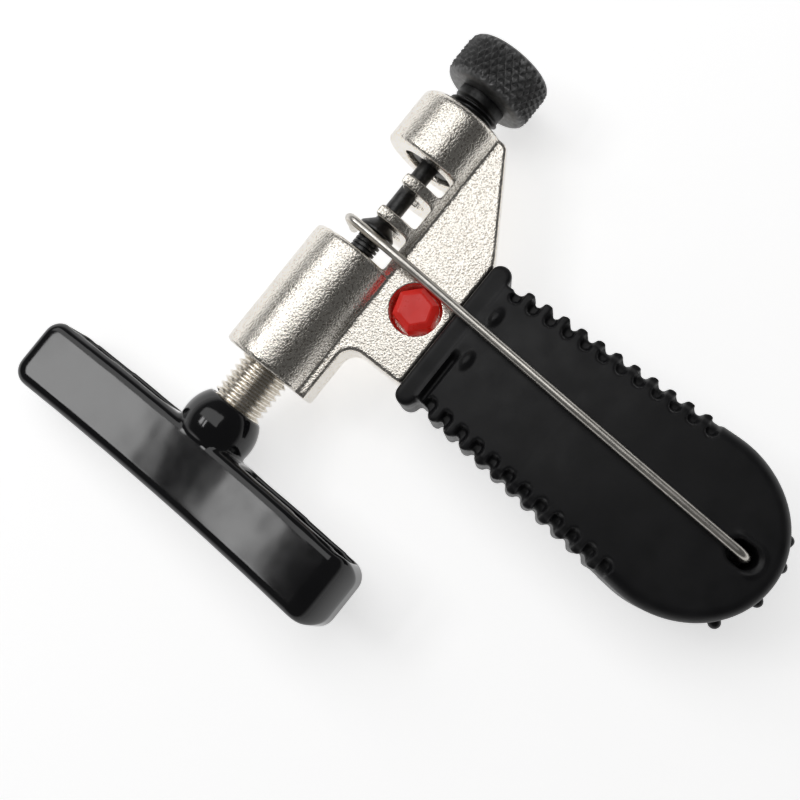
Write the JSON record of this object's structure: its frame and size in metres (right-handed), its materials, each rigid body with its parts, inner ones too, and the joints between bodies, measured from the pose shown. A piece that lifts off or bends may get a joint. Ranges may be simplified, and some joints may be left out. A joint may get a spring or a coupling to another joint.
{
  "type": "bicycle chain tool",
  "caption": "Chain breaker with a T-handled drive screw and pin, a two-rib chain seat, a knurled anvil screw, a wire chain hook and a moulded grip.",
  "frame": {"origin": "on the common axis of the two screws, at the driver barrel's inner face, where the chain bay begins", "axes": "+X along the screws from the T-handle to the knob, +Y away from the grip, +Z out of the front face that carries the hook"},
  "size_m": [0.0999, 0.1283, 0.0234],
  "materials": {
    "cast_nickel": "nickel plated over a coarse casting",
    "zinc_screw": "bright turned thread",
    "black_oxide": "oiled black oxide",
    "black_oxide_knurl": "black oxide with a diamond knurl",
    "handle_plastic": "glossy moulded black",
    "grip_rubber": "satin black moulded vinyl",
    "stainless_wire": "drawn bright wire",
    "red_plastic": "moulded red"
  },
  "bodies": {
    "body": {"tool_body": "cast_nickel", "grip": "grip_rubber", "hex_plug": "red_plastic"},
    "pin_carriage": {"drive_pin": "black_oxide"},
    "driver": {"drive_screw": "zinc_screw", "t_handle": "handle_plastic"},
    "anvil": {"anvil_screw": "black_oxide"},
    "knob": {"anvil_knob": "black_oxide_knurl"},
    "hook": {"chain_hook": "stainless_wire"}
  },
  "joints": [
    {"name": "pin_feed", "type": "slide", "parent": "body", "child": "pin_carriage", "axis": [1, 0, 0], "range_m": [-0.0175, 0]},
    {"name": "handle_turn", "type": "hinge", "parent": "pin_carriage", "child": "driver", "pos_m": [-0.045, 0, 0], "axis": [1, 0, 0], "range_deg": [-5040, 0]},
    {"name": "anvil_feed", "type": "slide", "parent": "body", "child": "anvil", "axis": [1, 0, 0], "range_m": [-0.00125, 0.00625]},
    {"name": "knob_turn", "type": "hinge", "parent": "anvil", "child": "knob", "pos_m": [0.04, 0, 0], "axis": [1, 0, 0], "range_deg": [-360, 1800]},
    {"name": "hook_lift", "type": "slide", "parent": "body", "child": "hook", "axis": [0, 0, 1], "range_m": [0, 0.02]}
  ],
  "couplings": [
    {"joint": "handle_turn", "follows": "pin_feed", "rad_per_m": 5026.5},
    {"joint": "knob_turn", "follows": "anvil_feed", "rad_per_m": 5026.5}
  ]
}
